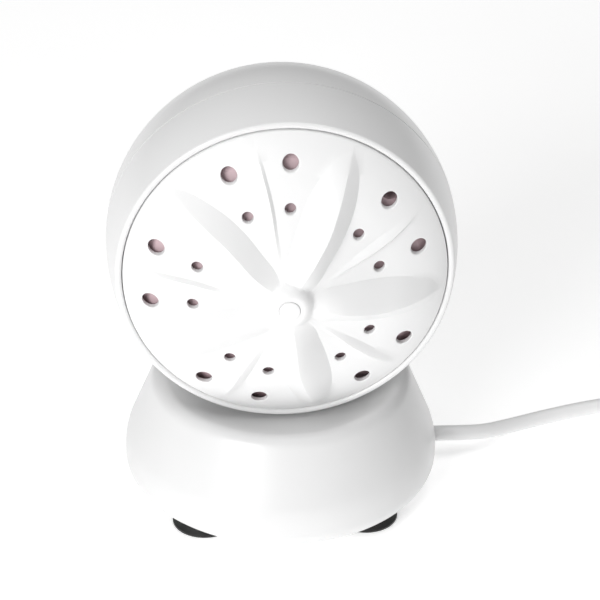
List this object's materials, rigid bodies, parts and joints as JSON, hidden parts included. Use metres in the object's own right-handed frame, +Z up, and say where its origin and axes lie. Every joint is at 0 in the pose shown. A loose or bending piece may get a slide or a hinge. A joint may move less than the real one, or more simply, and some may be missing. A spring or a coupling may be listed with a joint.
{
  "type": "portable mini washer",
  "caption": "Portable USB mini washer: a ball-shaped head with a finned, perforated impeller on a cone-shaped base with suction cups, and a USB lead.",
  "frame": {"origin": "on the surface that the suction cups stand on, under the middle of the box of the washer without its cord", "axes": "+Z up, the impeller faces -Y, the cord leaves towards +X"},
  "size_m": [0.2941, 0.1081, 0.1425],
  "materials": {
    "white_housing": "satin",
    "impeller_white": "satin",
    "plate_mauve": "satin",
    "cup_rubber": "satin",
    "seal_rubber": "matte",
    "bright_steel": "satin",
    "motor_steel": "satin",
    "bush_bronze": "satin",
    "gear_nylon": "satin",
    "magnet_ferrite": "matte",
    "core_steel": "satin",
    "winding_copper": "gloss",
    "cap_plastic": "satin",
    "board_green": "satin",
    "component_black": "satin",
    "cord_sheath": "satin",
    "plug_white": "satin",
    "plug_metal": "gloss",
    "wire_red": "satin",
    "wire_black": "satin"
  },
  "bodies": {
    "root": {"front_housing": "white_housing", "rear_housing": "white_housing", "bulkhead": "plate_mauve", "bulkhead_gasket": "seal_rubber", "front_bush": "bush_bronze", "rear_bush": "bush_bronze", "lip_seal": "seal_rubber", "gear_plate": "cap_plastic", "idler_pin": "bright_steel", "gear_plate_screws": "bright_steel", "motor_screws": "bright_steel", "motor_can": "motor_steel", "motor_bearing": "bush_bronze", "motor_magnets": "magnet_ferrite", "motor_end_cap": "cap_plastic", "motor_brushes": "magnet_ferrite", "motor_terminals": "winding_copper", "bulkhead_screws": "bright_steel", "housing_screws": "bright_steel", "base_shell": "white_housing", "base_cover": "white_housing", "base_screws": "bright_steel", "neck_tube": "white_housing", "neck_nut": "cap_plastic", "neck_washer": "seal_rubber", "suction_cup_1": "cup_rubber", "suction_cup_2": "cup_rubber", "suction_cup_3": "cup_rubber", "suction_cup_4": "cup_rubber", "control_board": "board_green", "board_components": "component_black", "cord_grommet": "cord_sheath", "cord_clamp": "cap_plastic", "clamp_screws": "bright_steel", "cord_tail": "cord_sheath", "wire_red": "wire_red", "wire_black": "wire_black", "cord_coil": "cord_sheath", "cord_lead": "cord_sheath", "cord_end": "cord_sheath", "usb_plug_body": "plug_white", "usb_plug_shell": "plug_metal", "usb_plug_tongue": "plug_white"},
    "impeller": {"impeller": "impeller_white", "hub_cap": "impeller_white", "impeller_screw": "bright_steel", "output_shaft": "bright_steel", "output_gear": "gear_nylon", "shaft_clip": "bright_steel"},
    "idler": {"idler_gear": "gear_nylon"},
    "rotor": {"motor_shaft": "bright_steel", "motor_pinion": "bush_bronze", "armature_core": "core_steel", "armature_windings": "winding_copper", "commutator": "winding_copper"}
  },
  "joints": [
    {"name": "impeller_spin", "type": "hinge", "parent": "root", "child": "impeller", "pos_m": [0, -0.02375, 0.088], "axis": [0, -1, 0], "continuous": true},
    {"name": "idler_spin", "type": "hinge", "parent": "root", "child": "idler", "pos_m": [0, -0.02375, 0.106], "axis": [0, -1, 0], "continuous": true},
    {"name": "rotor_spin", "type": "hinge", "parent": "root", "child": "rotor", "pos_m": [0, -0.02375, 0.088], "axis": [0, -1, 0], "continuous": true}
  ],
  "couplings": [
    {"joint": "idler_spin", "follows": "impeller_spin", "ratio": -2.75},
    {"joint": "rotor_spin", "follows": "impeller_spin", "ratio": 9.0357}
  ]
}
